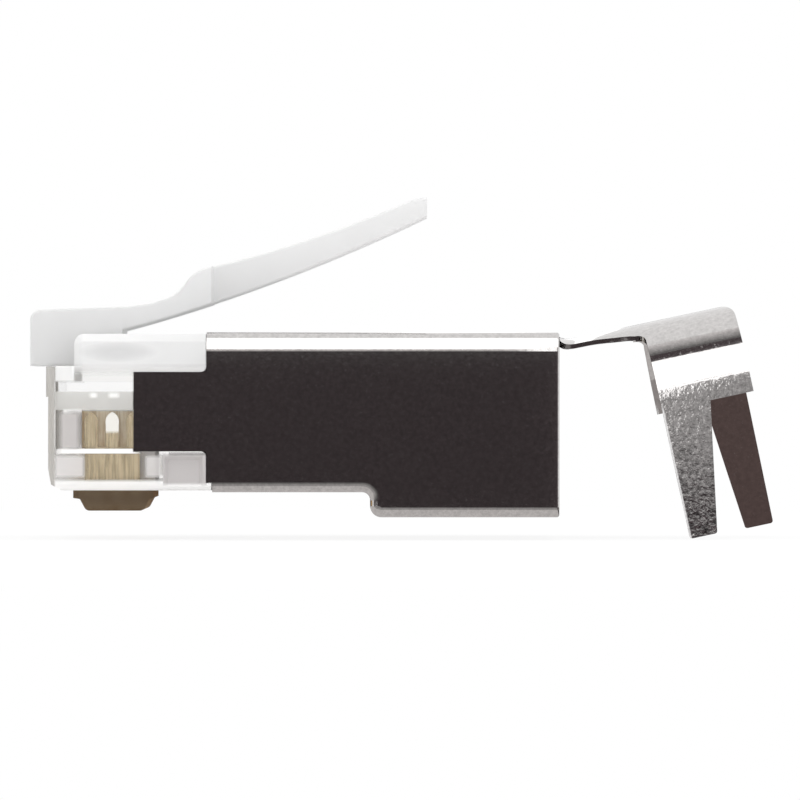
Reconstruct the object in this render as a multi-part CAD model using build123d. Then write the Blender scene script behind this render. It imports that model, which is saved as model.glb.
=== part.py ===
from build123d import *
import math
import os

# Shielded eight-way modular plug with a crimp tail.
# X runs along the plug (the nose looks along -X, the cable leaves along +X), Y is the width and
# +Z the latch side.  The origin is the centre of the nose face.  Lengths are in millimetres.
# Names that end in _H are heights above the underside of the moulding.

# ---- overall ----
BODY_WIDTH = 11.68      # over the shoulders and over the shield
BODY_HEIGHT = 6.40      # underside of the moulding to the underside of the shield's top plate
BODY_LENGTH = 21.31     # nose face to the rear edge of the shield
SHEET = 0.20            # shield sheet
FIT = 0.03              # clearance between the moulding and the sheet folded round it

# ---- nose of the moulding ----
NOSE_TOP_H = 5.19       # top of the nose and floor of the latch well
BROW_H = 3.90           # the front face stands forward above this height
BROW_STEP = 0.10
NOSE_CHAMFER_X = 0.55   # lead-in under the nose
NOSE_CHAMFER_H = 0.25
NOSE_DRAFT = 0.12       # the front face leans back this much towards the lead-in
NOSE_DRAFT_H = 0.90
SIDE_CORNER = 0.42      # upright front corners, seen from above
SIDE_EDGE = 0.36        # lower outside edges
SHOULDER_X = 1.08       # front of the two shoulders beside the latch
SHOULDER_RISE = 0.13    # they come almost level with the outside of the top plate
SHOULDER_CORNER = 0.42
SHOULDER_EDGE = 0.32    # bevel along the outside of the shoulders
LATCH_SIDE_GAP = 0.30   # between the pressed latch and the shoulders on each side
WELL_REAR_X = 8.60      # rear end of the channel that the latch drops into
WELL_RAMP = 1.20

# ---- contacts and the comb that holds them ----
WAYS = 8
PITCH = 1.02
CONTACT_THICK = 0.30
SLOT_SIDE_GAP = 0.05
SLOT_END_GAP = 0.12
BLADE_LOW_H = -0.87     # the blades stand proud until the plug is crimped
BLADE_FOOT_X = 1.50
BLADE_FOOT_LENGTH = 2.40
BLADE_FOOT_ROUND = 0.26
BLADE_FLARE = 0.26      # the foot widens by this much at each end up to the ears
BLADE_FLARE_H = -0.38
EAR_X = 0.96
EAR_LENGTH = 3.35
EAR_LOW_H = -0.34
EAR_HIGH_H = 0.34
TINES = 3
TINE_X = 1.74           # centre of the front tine
TINE_PITCH = 0.88
TINE_WIDTH = 0.54
TINE_ROOT_H = 1.80
TINE_SHOULDER_H = 2.75
TINE_TIP_H = 3.27
TINE_FULLNESS = 0.72    # how far out and up the side of a tine's point is at its middle

# ---- conductor channels and the cable space ----
CHANNEL_X = 0.38        # blind front end
CHANNEL_AXIS_H = 3.90
CHANNEL_RADIUS = 0.48
CHANNEL_ROOF_H = 4.55
FUNNEL_FRONT_X = 7.0
FUNNEL_REAR_X = 12.6
SIDE_WALL = 0.91        # moulding left on each side of the cable space,
FLOOR_WALL = 0.75       # below it
ROOF_WALL = 0.62        # and above it
TROUGH_WALL = 0.60      # moulding left under and in front of the deep end of the cable space
MOUTH_CHAMFER = 0.35
REAR_SETBACK = 0.21     # the moulding stops short of the shield's rear edge
PANEL_DEPTH = 0.15      # shallow cored panel behind the comb, one each side
PANEL_X = 4.85
PANEL_LENGTH = 1.60
PANEL_LOW_H = 0.15
PANEL_HIGH_H = 1.42

# ---- shield ----
SHIELD_X = 6.60
SHIELD_TOP_H = BODY_HEIGHT + SHEET
SHIELD_LOW_H = -0.08
SHIELD_DEEP_H = -1.125  # underside of the deeper rear end, made for thick cable
STEP_X = 13.42
TOP_FOLD = 0.80         # outside radii of the folds
LOW_FOLD = 0.42
STEP_BLEND = 0.34       # inside radius where the shallow underside turns into the step
STEP_EASE = 0.05        # the lower turn of the step is this much rounder than the fold along it
LUG_X = 3.56
LUG_LOW_H = 1.63
LUG_HIGH_H = 4.94
LUG_CORNER = 0.25
UNDERSIDE_SETBACK = 0.23
RELIEF_REAR_X = 10.0    # rear end of the notch in the top plate for the pressed latch
RELIEF_CORNER = 0.50
SEAM = 0.12             # open joint along the middle of the underside
RIM_ROUND = 0.10

# ---- crimp tail ----
TAIL_TILT = 12.0        # degrees, the tail rises away from the plug
STRAP_LENGTH = 3.575    # rear edge of the shield to the outer crown at the front of the barrel
BARREL_TOP_H = 7.00
BARREL_RADIUS = 3.70    # outside
BARREL_LENGTH = 3.92
BARREL_CORNER = 0.45
BARREL_SPLAY = 6.0      # degrees, the open legs lean outwards by this much each
STRAP_WIDTH = 3.60
STRAP_FLARE = 0.42      # fillet where the strap widens into the barrel
# near (-Y) half and far (+Y) half: plain wall's reach below the crown, then the prong's widths
# at its root and tip, and its reach
BARREL_DEPTHS = (3.75, 3.94)
PRONG_ROOTS = (2.07, 1.83)
PRONG_TIPS = (1.17, 1.22)
PRONG_REACHES = (9.25, 9.52)
PRONG_CORNER = 0.12
# strap sections: share of the way from the rear edge to the barrel, how far the crown dips below
# the straight line between the two, and how far the edges are cambered down from the crown
STRAP_SECTIONS = ((0.08, 0.25, 0.23), (0.23, 0.29, 0.25), (0.48, 0.20, 0.27), (0.69, 0.115, 0.36))

# ---- latch ----
LATCH_WIDTH = 6.00      # wide part, up to the catch shoulders
LEVER_WIDTH = 3.25      # finger lever behind them
ROOT_X = -0.90
ROOT_REAR_X = 2.94
ROOT_TOP_H = 7.57
ROOT_CORNER = 0.48
HINGE_X = 3.25          # flexing line of the latch
HINGE_RISE = 0.705      # flexing line above the top of the shoulders
HINGE_RADIUS = 0.485
HINGE_GAP = 0.03
CATCH_X = 6.77          # rear face of the catch shoulders
CATCH_TOP_H = 9.42
# (X, height) of the ramp from the flexing line up to the catch
CATCH_RAMP = ((4.40, 7.92), (5.35, 8.36), (5.90, 9.02), (6.30, 9.27))
LEVER_SAG = 0.22        # the lever curves upwards between the catch and the tip
UNDER_SAG = 0.32
NAIL_LENGTH = 0.55      # flatter end of the lever, where the finger presses
NAIL_RISE = 0.07
TIP_X = 15.83
TIP_TOP_H = 12.36
TIP_THICK = 0.88
TIP_CORNER = 0.12

# ---- worked out from the values above ----
Z0 = -BODY_HEIGHT / 2
HALF_WIDTH = BODY_WIDTH / 2
SKIN = SHEET + FIT
CAVITY_WIDTH = BODY_WIDTH - 2 * (SKIN + SIDE_WALL)
CAVITY_FLOOR_H = SHIELD_LOW_H + SKIN + FLOOR_WALL
CAVITY_ROOF_H = SHIELD_TOP_H - SKIN - ROOF_WALL
WELL_WIDTH = LATCH_WIDTH + 2 * LATCH_SIDE_GAP
SHOULDER_H = BODY_HEIGHT + SHOULDER_RISE
HINGE_H = SHOULDER_H + HINGE_RISE
SLOT_WIDTH = CONTACT_THICK + 2 * SLOT_SIDE_GAP
WAY_Y = [(i - (WAYS - 1) / 2) * PITCH for i in range(WAYS)]
BLADE_FRONT = TINE_X - TINE_WIDTH / 2
BLADE_REAR = TINE_X + (TINES - 1) * TINE_PITCH + TINE_WIDTH / 2
CHANNEL_FLOOR_H = CHANNEL_AXIS_H - CHANNEL_RADIUS
CHANNEL_SPAN = (WAYS - 1) * PITCH + 2 * CHANNEL_RADIUS
LUG_ROOT_X = SHIELD_X + 2 * LUG_CORNER
BARREL_X = BODY_LENGTH + STRAP_LENGTH
NECK_X = HINGE_X - HINGE_RADIUS / 2
BEYOND = 1.0            # how far a cutter runs past a face
TALL = 3 * BODY_HEIGHT  # a cutter that clears everything above and below
TINY = 1e-3


def block(x0, x1, y0, y1, h0, h1):
    """A box between two X, two Y and two heights above the underside of the moulding."""
    size = Box(x1 - x0, y1 - y0, h1 - h0)
    return Pos((x0 + x1) / 2, (y0 + y1) / 2, Z0 + (h0 + h1) / 2) * size


def side_prism(outline, y0, y1):
    """Extrudes a closed outline drawn in the X-height plane from y0 to y1."""
    face = make_face(outline)
    plane = Plane(origin=(0, y1, Z0), x_dir=(1, 0, 0), z_dir=(0, -1, 0))
    return extrude(plane * face, y1 - y0)


def one_solid(shape):
    """The single solid of a finished piece."""
    solids = shape.solids()
    assert len(solids) == 1, f"{len(solids)} solids"
    return solids[0]


# ---------------------------------------------------------------- shield and what it wraps
def sleeve(inset, x0, x1):
    """Outside of the shield moved in by inset: a box whose underside steps down at the rear."""
    half = HALF_WIDTH - inset
    top, low, deep = SHIELD_TOP_H - inset, SHIELD_LOW_H + inset, SHIELD_DEEP_H + inset
    step = STEP_X + inset
    inner_turn = STEP_BLEND + inset
    outer_turn = LOW_FOLD + STEP_EASE - inset
    slope = math.sqrt(0.5)
    outline = Wire([
        *Polyline((step - inner_turn, low), (x0, low), (x0, top), (x1, top), (x1, deep),
                  (step + outer_turn, deep)).edges(),
        ThreePointArc(
            (step + outer_turn, deep),
            (step + outer_turn * (1 - slope), deep + outer_turn * (1 - slope)),
            (step, deep + outer_turn),
        ),
        Line((step, deep + outer_turn), (step, low - inner_turn)),
        ThreePointArc(
            (step, low - inner_turn),
            (step - inner_turn * (1 - slope), low - inner_turn * (1 - slope)),
            (step - inner_turn, low),
        ),
    ])
    body = side_prism(outline, -half, half)
    roof = body.edges().filter_by(Axis.X).sort_by(Axis.Z)[-2:]
    body = fillet(roof, TOP_FOLD - inset)
    low_edges = [
        e for face in body.faces().filter_by(Axis.Y) for e in face.edges()
        if e.center().Z < Z0 + (top + low) / 2 and x0 + TINY < e.center().X < x1 - TINY
    ]
    return fillet(low_edges, LOW_FOLD - inset)


def lug(sign, thickness, grow):
    """One forward lug of the shield on the +Y or -Y side, or with grow the seat cut for it."""
    outline = Polyline(
        (LUG_X - grow, LUG_LOW_H - grow),
        (LUG_ROOT_X, LUG_LOW_H - grow),
        (LUG_ROOT_X, LUG_HIGH_H + grow),
        (LUG_X - grow, LUG_HIGH_H + grow),
        close=True,
    )
    y_out = sign * (HALF_WIDTH + (BEYOND if grow else 0))
    y_in = sign * (HALF_WIDTH - thickness)
    return side_prism(outline, min(y_out, y_in), max(y_out, y_in))


def lug_fillets(sign, thickness):
    """The rounded inner corners above and below a lug, where it joins the side wall."""
    y_out, y_in = sign * HALF_WIDTH, sign * (HALF_WIDTH - thickness)
    y0, y1 = min(y_out, y_in), max(y_out, y_in)
    webs = []
    for height, up in ((LUG_HIGH_H, 1), (LUG_LOW_H, -1)):
        corner = block(
            SHIELD_X - LUG_CORNER, SHIELD_X, y0, y1,
            min(height, height + up * LUG_CORNER), max(height, height + up * LUG_CORNER),
        )
        round_cut = Pos(SHIELD_X - LUG_CORNER, (y0 + y1) / 2, Z0 + height + up * LUG_CORNER)
        round_cut *= Rot(90, 0, 0) * Cylinder(LUG_CORNER, 2 * (y1 - y0))
        webs.append(corner - round_cut)
    return webs[0] + webs[1]


def arch_section(plane, width, crown, rise, sheet):
    """A strip's cross-section: crown is its top height in the plane, rise its camber."""
    half = width / 2
    if rise < TINY:
        flat = Rectangle(width, sheet)
        return plane * (Pos(0, crown - sheet / 2) * flat)
    radius = (half * half + rise * rise) / (2 * rise)
    angle = math.asin(half / radius)
    inner = radius - sheet
    centre = crown - radius
    outer_end = (radius * math.sin(angle), centre + radius * math.cos(angle))
    inner_end = (inner * math.sin(angle), centre + inner * math.cos(angle))
    wire = Wire([
        ThreePointArc((-outer_end[0], outer_end[1]), (0, crown), outer_end),
        Line(outer_end, inner_end),
        ThreePointArc(inner_end, (0, centre + inner), (-inner_end[0], inner_end[1])),
        Line((-inner_end[0], inner_end[1]), (-outer_end[0], outer_end[1])),
    ])
    return plane * make_face(wire)


def tail_frame():
    """Barrel axes: x along the barrel, y across, z out of the crown; origin at the front crown."""
    tilt = math.radians(TAIL_TILT)
    return Plane(
        origin=(BARREL_X, 0, Z0 + BARREL_TOP_H),
        x_dir=(math.cos(tilt), 0, math.sin(tilt)),
        z_dir=(-math.sin(tilt), 0, math.cos(tilt)),
    )


def barrel_rise():
    """How far the barrel falls from its crown to the edge of a strap-wide strip."""
    return BARREL_RADIUS - math.sqrt(BARREL_RADIUS**2 - (STRAP_WIDTH / 2) ** 2)


def strap():
    """The strap from the top plate: it steps down, cambers and rises into the barrel's arch."""
    upright = Plane(origin=(BODY_LENGTH, 0, Z0), x_dir=(0, 1, 0), z_dir=(1, 0, 0))
    sections = [arch_section(upright, STRAP_WIDTH, SHIELD_TOP_H, 0, SHEET)]
    for share, dip, rise in STRAP_SECTIONS:
        plane = upright.offset(share * STRAP_LENGTH)
        crown = SHIELD_TOP_H + share * (BARREL_TOP_H - SHIELD_TOP_H) - dip
        sections.append(arch_section(plane, STRAP_WIDTH, crown, rise, SHEET))
    frame = tail_frame()
    end = Plane(
        origin=frame.from_local_coords(Vector(-STRAP_FLARE, 0, 0)),
        x_dir=(0, 1, 0), z_dir=frame.x_dir,
    )
    sections.append(arch_section(end, STRAP_WIDTH, 0, barrel_rise(), SHEET))
    return loft(sections)


def barrel_outline(depth, root, tip, reach, from_front):
    """Side outline of one half of the barrel with its prong, in barrel axes."""
    near, far = -STRAP_FLARE, BARREL_LENGTH
    corner = BARREL_CORNER
    bend = corner * (1 - math.sqrt(0.5))
    roof = [(far - corner, 0), (far - corner, BEYOND), (near, BEYOND)]
    roof += [(near, -BARREL_RADIUS / 2), (0, -BARREL_RADIUS / 2)]
    if from_front:
        prong = [(0, -reach), (tip, -reach), (root, -depth), (far, -depth)]
        prong += [(far, -corner)]
    else:
        prong = [(0, -depth), (far - root, -depth), (far - tip, -reach)]
        prong += [(far, -reach), (far, -corner)]
    rounding = ThreePointArc((far, -corner), (far - bend, -bend), (far - corner, 0))
    edges = [*Polyline(*roof, *prong).edges(), rounding]
    outline = make_face(Wire(edges))
    tips = outline.vertices().sort_by(Axis.Y)[:2]
    return fillet(tips, PRONG_CORNER)


def barrel_section(leg):
    """The open U across the barrel: an arc over the top and two legs that lean outwards."""
    lean = math.radians(BARREL_SPLAY)
    along = Vector(math.sin(lean), -math.cos(lean)) * leg
    outer = Vector(math.cos(lean), math.sin(lean)) * BARREL_RADIUS
    inner = Vector(math.cos(lean), math.sin(lean)) * (BARREL_RADIUS - SHEET)
    mirrored = [Vector(-v.X, v.Y) for v in (outer, outer + along, inner + along, inner)]
    return make_face(Wire([
        ThreePointArc(mirrored[0], (0, BARREL_RADIUS), outer),
        *Polyline(outer, outer + along, inner + along, inner).edges(),
        ThreePointArc(inner, (0, BARREL_RADIUS - SHEET), mirrored[3]),
        *Polyline(*reversed(mirrored)).edges(),
    ]))


def barrel():
    """The U-shaped crimp barrel with one prong from the front half and one from the rear half."""
    frame = tail_frame()
    leg = max(PRONG_REACHES) + BEYOND
    wide = BARREL_RADIUS + leg * math.sin(math.radians(BARREL_SPLAY))
    across = Plane(
        origin=frame.from_local_coords(Vector(-STRAP_FLARE, 0, -BARREL_RADIUS)),
        x_dir=(0, 1, 0), z_dir=frame.x_dir,
    )
    channel = extrude(across * barrel_section(leg), STRAP_FLARE + BARREL_LENGTH)

    sides = None
    for sign, front, *half_sizes in zip(
        (-1, 1), (True, False), BARREL_DEPTHS, PRONG_ROOTS, PRONG_TIPS, PRONG_REACHES
    ):
        side = Plane(origin=frame.origin, x_dir=frame.x_dir, z_dir=(0, -1, 0))
        face = side * barrel_outline(*half_sizes, front)
        half = extrude(face, -sign * wide)
        sides = half if sides is None else sides + half

    # seen from above the strap's width flares into the barrel with a quarter round each side
    half, flare = STRAP_WIDTH / 2, STRAP_FLARE
    arc_mid = flare * math.sqrt(0.5)
    upper = Wire([
        Line((-flare, -half), (-flare, half)),
        ThreePointArc((-flare, half), (-flare + arc_mid, half + flare - arc_mid), (0, half + flare)),
        Line((0, half + flare), (0, wide)),
        Line((0, wide), (BARREL_LENGTH, wide)),
        Line((BARREL_LENGTH, wide), (BARREL_LENGTH, -wide)),
        Line((BARREL_LENGTH, -wide), (0, -wide)),
        Line((0, -wide), (0, -half - flare)),
        ThreePointArc((0, -half - flare), (-flare + arc_mid, -half - flare + arc_mid), (-flare, -half)),
    ])
    above = Plane(origin=frame.from_local_coords(Vector(0, 0, BEYOND)),
                  x_dir=frame.x_dir, z_dir=-frame.z_dir)
    blank = extrude(above * make_face(upper), leg + BEYOND)
    return channel & sides & blank


def make_shield():
    """One folded sheet: sleeve, side lugs, strap and crimp barrel."""
    outer = sleeve(0, SHIELD_X, BODY_LENGTH)
    rear_rim = outer.faces().sort_by(Axis.X)[-1].edges()
    outer = fillet(rear_rim, RIM_ROUND)
    shell = outer - sleeve(SHEET, SHIELD_X - BEYOND, BODY_LENGTH + BEYOND)
    low_front = block(
        SHIELD_X - BEYOND, SHIELD_X + UNDERSIDE_SETBACK, -BODY_WIDTH, BODY_WIDTH,
        SHIELD_LOW_H - BEYOND, SHIELD_LOW_H + LOW_FOLD,
    )
    shell -= low_front
    relief = block(
        SHIELD_X - BEYOND, RELIEF_REAR_X, -WELL_WIDTH / 2, WELL_WIDTH / 2,
        SHIELD_TOP_H - TOP_FOLD, SHIELD_TOP_H + BEYOND,
    )
    relief = fillet(relief.edges().filter_by(Axis.Z).sort_by(Axis.X)[2:], RELIEF_CORNER)
    shell -= relief
    shell -= block(SHIELD_X, BODY_LENGTH + BEYOND, -SEAM / 2, SEAM / 2, SHIELD_DEEP_H - BEYOND,
                   SHIELD_LOW_H + 2 * LOW_FOLD)
    for sign in (-1, 1):
        shell += lug(sign, SHEET, 0)
        shell += lug_fillets(sign, SHEET)
    return one_solid(shell + strap() + barrel())


# ---------------------------------------------------------------- moulding
def nose():
    """The full-width clear front of the moulding with its two shoulders."""
    rear = SHIELD_X - FIT
    sill_top = SHIELD_LOW_H + LOW_FOLD - FIT
    outline = Polyline(
        (NOSE_CHAMFER_X, 0),
        (NOSE_DRAFT, NOSE_CHAMFER_H),
        (0, NOSE_DRAFT_H),
        (0, BROW_H),
        (-BROW_STEP, BROW_H),
        (-BROW_STEP, NOSE_TOP_H),
        (SHOULDER_X, NOSE_TOP_H),
        (SHOULDER_X, SHOULDER_H),
        (rear, SHOULDER_H),
        (rear, sill_top),
        (rear + UNDERSIDE_SETBACK, sill_top),
        (rear + UNDERSIDE_SETBACK, 0),
        close=True,
    )
    body = side_prism(outline, -HALF_WIDTH, HALF_WIDTH)
    corner = [
        e for e in body.edges().filter_by(Axis.Y)
        if abs(e.center().X - SHOULDER_X) < TINY and e.center().Z > Z0 + SHOULDER_H - TINY
    ]
    body = fillet(corner, SHOULDER_CORNER)
    outside = [
        e for f in body.faces().filter_by(Axis.Y) for e in f.edges()
        if e.center().Z > Z0 + NOSE_TOP_H + SHOULDER_EDGE and e.center().X < rear - TINY
    ]
    body = chamfer(outside, SHOULDER_EDGE)
    full = block(-BROW_STEP, rear + UNDERSIDE_SETBACK, -HALF_WIDTH, HALF_WIDTH, 0, SHOULDER_H)
    plan = fillet(full.edges().filter_by(Axis.Z).sort_by(Axis.X)[:2], SIDE_CORNER)
    section = fillet(full.edges().filter_by(Axis.X).sort_by(Axis.Z)[:2], SIDE_EDGE)
    return body & plan & section


def cable_space():
    """Everything open from the rear: the deep trough, the cavity and the funnel in front of it."""
    half = CAVITY_WIDTH / 2
    rear = BODY_LENGTH + BEYOND
    cavity = block(FUNNEL_REAR_X, rear, -half, half, CAVITY_FLOOR_H, CAVITY_ROOF_H)
    trough = block(STEP_X + SKIN + TROUGH_WALL, rear, -half, half,
                   SHIELD_DEEP_H + SKIN + TROUGH_WALL, CAVITY_FLOOR_H + FIT)
    small = Plane(origin=(FUNNEL_FRONT_X, 0, Z0), x_dir=(0, 1, 0), z_dir=(1, 0, 0))
    large = Plane(origin=(FUNNEL_REAR_X, 0, Z0), x_dir=(0, 1, 0), z_dir=(1, 0, 0))
    low_h, high_h = CHANNEL_FLOOR_H, CHANNEL_ROOF_H
    mouth = Pos(0, (low_h + high_h) / 2) * Rectangle(CHANNEL_SPAN, high_h - low_h)
    low_h, high_h = CAVITY_FLOOR_H, CAVITY_ROOF_H
    throat = Pos(0, (low_h + high_h) / 2) * Rectangle(CAVITY_WIDTH, high_h - low_h)
    return cavity + trough + loft([small * mouth, large * throat])


def conductor_channels():
    """A flat-roofed slot whose floor has one half-round groove for each conductor."""
    length = FUNNEL_FRONT_X - CHANNEL_X + FIT
    middle = CHANNEL_X + length / 2
    span = (WAYS - 1) * PITCH / 2 + CHANNEL_RADIUS
    cut = block(CHANNEL_X, CHANNEL_X + length, -span, span, CHANNEL_AXIS_H, CHANNEL_ROOF_H)
    for y in WAY_Y:
        groove = Rot(0, 90, 0) * Cylinder(CHANNEL_RADIUS, length)
        cut += Pos(middle, y, Z0 + CHANNEL_AXIS_H) * groove
    return cut


def contact_slots():
    """The comb: a slot open below and in front, and a narrower one that the tines rise through."""
    half = SLOT_WIDTH / 2
    slots = []
    for y in WAY_Y:
        low = block(-BEYOND, EAR_X + EAR_LENGTH + SLOT_END_GAP, y - half, y + half,
                    -BEYOND, TINE_ROOT_H - SLOT_END_GAP)
        high = block(BLADE_FRONT - SLOT_END_GAP, BLADE_REAR + SLOT_END_GAP, y - half, y + half,
                     -BEYOND, CHANNEL_AXIS_H)
        slots += [low, high]
    return slots


def latch_root():
    """The block that carries the latch, fixed on the nose, with a hollow end for the flexing line."""
    outline = Polyline(
        (ROOT_X, NOSE_TOP_H),
        (ROOT_X, ROOT_TOP_H),
        (HINGE_X, HINGE_H + HINGE_RADIUS),
        (HINGE_X, HINGE_H),
        (NECK_X, HINGE_H - HINGE_RADIUS),
        (ROOT_REAR_X, NOSE_TOP_H),
        close=True,
    )
    root = side_prism(outline, -LATCH_WIDTH / 2, LATCH_WIDTH / 2)
    front = root.edges().filter_by(Axis.Y).sort_by(Axis.X)[:2].sort_by(Axis.Z)
    root = fillet(front[-1:], ROOT_CORNER)
    hollow = Rot(90, 0, 0) * Cylinder(HINGE_RADIUS + HINGE_GAP, LATCH_WIDTH + BEYOND)
    return root - Pos(HINGE_X, 0, Z0 + HINGE_H) * hollow


def side_panel(sign):
    """The shallow panel cored into one side, with walls that slope at 45 degrees."""
    y_out, y_in = sign * (HALF_WIDTH + BEYOND), sign * (HALF_WIDTH - PANEL_DEPTH)
    cut = block(PANEL_X, PANEL_X + PANEL_LENGTH, min(y_out, y_in), max(y_out, y_in),
                PANEL_LOW_H, PANEL_HIGH_H)
    bottom = cut.faces().sort_by(Axis.Y)[0 if sign > 0 else -1]
    return chamfer(bottom.edges(), PANEL_DEPTH)


def make_housing():
    """The clear moulding: nose, the core inside the shield, the latch root and all its hollows."""
    rear = BODY_LENGTH - REAR_SETBACK
    body = nose() + sleeve(SKIN, SHIELD_X - SKIN, rear)
    well = side_prism(
        Polyline(
            (SHOULDER_X - BEYOND, NOSE_TOP_H),
            (WELL_REAR_X, NOSE_TOP_H),
            (WELL_REAR_X + WELL_RAMP, BODY_HEIGHT + BEYOND / 2),
            (SHOULDER_X - BEYOND, BODY_HEIGHT + BEYOND / 2),
            close=True,
        ),
        -WELL_WIDTH / 2, WELL_WIDTH / 2,
    )
    body -= well
    body += latch_root()
    body -= cable_space()
    body -= conductor_channels()
    for slot in contact_slots():
        body -= slot
    for sign in (-1, 1):
        body -= lug(sign, SKIN, FIT)
        body -= side_panel(sign)
    rim = body.faces().sort_by(Axis.X)[-1].inner_wires()[0].edges()
    body = chamfer(rim, MOUTH_CHAMFER)
    return one_solid(body)


def sagged(start, end, sag):
    """The middle of a shallow arc that hangs by sag below the line between two points."""
    return (start[0] + end[0]) / 2, (start[1] + end[1]) / 2 - sag


def make_latch():
    """The springy lever: wide up to the catch shoulders, then the narrower finger lever."""
    under_start = (HINGE_X, HINGE_H - HINGE_RADIUS)
    top_start = (HINGE_X, HINGE_H + HINGE_RADIUS)
    tip_low = (TIP_X, TIP_TOP_H - TIP_THICK)
    tip_top = (TIP_X, TIP_TOP_H)
    catch = (CATCH_X, CATCH_TOP_H)
    ramp = Spline(top_start, *CATCH_RAMP, catch)
    nail = (TIP_X - NAIL_LENGTH, TIP_TOP_H - NAIL_RISE)
    back = ThreePointArc(catch, sagged(catch, nail, LEVER_SAG), nail)
    under = ThreePointArc(tip_low, sagged(tip_low, under_start, UNDER_SAG), under_start)
    outline = Wire([
        ramp, back, Line(nail, tip_top), Line(tip_top, tip_low), under,
        Line(under_start, top_start),
    ])
    lever = side_prism(outline, -LATCH_WIDTH / 2, LATCH_WIDTH / 2)
    knuckle = Rot(90, 0, 0) * Cylinder(HINGE_RADIUS, LATCH_WIDTH)
    lever += Pos(HINGE_X, 0, Z0 + HINGE_H) * knuckle
    for sign in (-1, 1):
        y_in, y_out = sign * LEVER_WIDTH / 2, sign * LATCH_WIDTH
        lever -= block(CATCH_X, TIP_X + BEYOND, min(y_in, y_out), max(y_in, y_out), 0, TALL)
    ends = lever.edges().filter_by(Axis.Y).sort_by(Axis.X)[-2:]
    return one_solid(fillet(ends, TIP_CORNER))


# ---------------------------------------------------------------- contacts
def tine_points(index):
    """Centre and half width of one tine."""
    return TINE_X + index * TINE_PITCH, TINE_WIDTH / 2


def make_contact(y):
    """A stamped blade: foot below, ears at the underside, three piercing tines on top."""
    foot_rear = BLADE_FOOT_X + BLADE_FOOT_LENGTH
    ear_rear = EAR_X + EAR_LENGTH
    edges = list(Polyline(
        (BLADE_FRONT, TINE_SHOULDER_H),
        (BLADE_FRONT, EAR_HIGH_H),
        (EAR_X, EAR_HIGH_H),
        (EAR_X, EAR_LOW_H),
        (BLADE_FOOT_X - BLADE_FLARE, BLADE_FLARE_H),
        (BLADE_FOOT_X, BLADE_LOW_H),
        (foot_rear, BLADE_LOW_H),
        (foot_rear + BLADE_FLARE, BLADE_FLARE_H),
        (ear_rear, EAR_LOW_H),
        (ear_rear, EAR_HIGH_H),
        (BLADE_REAR, EAR_HIGH_H),
        (BLADE_REAR, TINE_SHOULDER_H),
    ).edges())
    for index in reversed(range(TINES)):
        centre, half = tine_points(index)
        lift = TINE_FULLNESS * (TINE_TIP_H - TINE_SHOULDER_H)
        edges.append(ThreePointArc(
            (centre + half, TINE_SHOULDER_H),
            (centre + TINE_FULLNESS * half, TINE_SHOULDER_H + lift),
            (centre, TINE_TIP_H),
        ))
        edges.append(ThreePointArc(
            (centre, TINE_TIP_H),
            (centre - TINE_FULLNESS * half, TINE_SHOULDER_H + lift),
            (centre - half, TINE_SHOULDER_H),
        ))
        if index:
            gap_right = centre - half
            gap_left = tine_points(index - 1)[0] + half
            edges.append(Line((gap_right, TINE_SHOULDER_H), (gap_right, TINE_ROOT_H)))
            edges.append(Line((gap_right, TINE_ROOT_H), (gap_left, TINE_ROOT_H)))
            edges.append(Line((gap_left, TINE_ROOT_H), (gap_left, TINE_SHOULDER_H)))
    half = CONTACT_THICK / 2
    blade = side_prism(Wire(edges), y - half, y + half)
    foot = [
        e for e in blade.edges().filter_by(Axis.Y)
        if e.center().Z < Z0 + BLADE_LOW_H + TINY
    ]
    return one_solid(fillet(foot, BLADE_FOOT_ROUND))


def main():
    os.makedirs("parts", exist_ok=True)
    pieces = {"housing": make_housing(), "latch": make_latch(), "shield": make_shield()}
    for number, y in enumerate(WAY_Y, start=1):
        pieces[f"contact_{number}"] = make_contact(y)
    for name, solid in pieces.items():
        export_step(solid, f"parts/{name}.step")
        print(f"{name}: {solid.volume:.2f} mm3")


main()
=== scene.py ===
# %% [markdown]
# # A shielded modular plug
# The plug is a clear moulding with a springy latch, eight gold-plated blades, and one folded
# nickel-plated sheet that ends in an open crimp barrel with two prongs.  The rigid solids come
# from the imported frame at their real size.  This file gives them their finishes and their light,
# and makes the one surface that has to bend.

# %% Load the frame
import math
import bpy
import numpy as np
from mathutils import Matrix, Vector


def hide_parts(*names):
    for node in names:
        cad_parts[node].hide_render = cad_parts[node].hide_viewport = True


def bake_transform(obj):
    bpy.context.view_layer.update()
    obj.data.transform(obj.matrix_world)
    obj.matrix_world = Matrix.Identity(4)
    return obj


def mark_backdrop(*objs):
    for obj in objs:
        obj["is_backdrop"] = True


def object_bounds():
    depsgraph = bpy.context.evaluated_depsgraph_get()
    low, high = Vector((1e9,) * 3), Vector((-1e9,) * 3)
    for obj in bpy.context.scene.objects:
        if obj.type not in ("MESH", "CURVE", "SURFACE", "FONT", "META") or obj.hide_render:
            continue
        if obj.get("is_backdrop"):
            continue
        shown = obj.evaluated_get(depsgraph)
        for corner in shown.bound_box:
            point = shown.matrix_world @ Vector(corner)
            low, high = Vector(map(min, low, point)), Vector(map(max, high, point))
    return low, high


MM = 0.001
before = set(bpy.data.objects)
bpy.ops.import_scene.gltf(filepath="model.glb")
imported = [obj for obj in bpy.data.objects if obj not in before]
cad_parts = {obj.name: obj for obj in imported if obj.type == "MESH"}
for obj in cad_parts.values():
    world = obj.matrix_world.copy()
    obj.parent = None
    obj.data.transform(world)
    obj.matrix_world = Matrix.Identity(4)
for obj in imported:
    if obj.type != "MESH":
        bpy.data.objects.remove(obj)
cad_box = [list(corner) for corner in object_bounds()]
size_mm = [(high - low) / MM for low, high in zip(*cad_box)]
print("nodes:", ", ".join(sorted(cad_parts)))
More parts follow.
